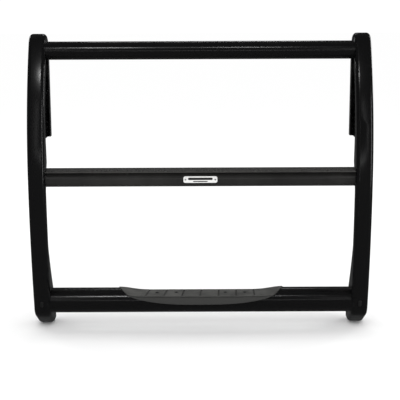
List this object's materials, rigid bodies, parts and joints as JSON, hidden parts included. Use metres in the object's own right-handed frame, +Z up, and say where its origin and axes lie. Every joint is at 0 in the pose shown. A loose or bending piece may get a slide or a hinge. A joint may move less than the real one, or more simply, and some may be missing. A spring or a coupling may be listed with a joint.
{
  "type": "front grille guard",
  "caption": "Black welded front grille guard with rimmed plate uprights, crossbars, a drilled light shelf and a tread pad let into the lower tube.",
  "frame": {"origin": "middle of the footprint, level with the lowest edge of the feet", "axes": "+X to the right across the guard seen from the front, +Y to the rear, towards the vehicle, +Z up; the front of the guard faces -Y"},
  "size_m": [1.016, 0.1778, 0.892],
  "materials": {
    "black_coat": "satin black powder coat",
    "weld_coat": "satin black powder coat over weld beads",
    "tread_rubber": "grained dark grey moulded tread",
    "black_plastic": "moulded black plastic",
    "screw_steel": "black oxide screws",
    "zinc_steel": "zinc plated",
    "badge_white": "white enamel",
    "rivet_aluminium": "plain aluminium"
  },
  "bodies": {
    "root": {"right_side_plate": "black_coat", "left_side_plate": "black_coat", "right_rim_channel": "black_coat", "left_rim_channel": "black_coat", "right_tail_channel": "black_coat", "left_tail_channel": "black_coat", "rim_closers": "black_coat", "rim_plugs": "black_plastic", "top_crossbar": "black_coat", "middle_crossbar": "black_coat", "step_crossbar": "black_coat", "light_shelf": "black_coat", "step_tray": "black_coat", "step_end_plates": "black_coat", "step_pad": "tread_rubber", "pad_screws": "screw_steel", "pad_rivet_nuts": "zinc_steel", "badge_plate": "badge_white", "badge_rivets": "rivet_aluminium", "shelf_welds": "weld_coat", "tail_welds": "weld_coat", "top_bar_welds": "weld_coat", "middle_bar_welds": "weld_coat", "step_bar_welds": "weld_coat"}
  },
  "joints": []
}
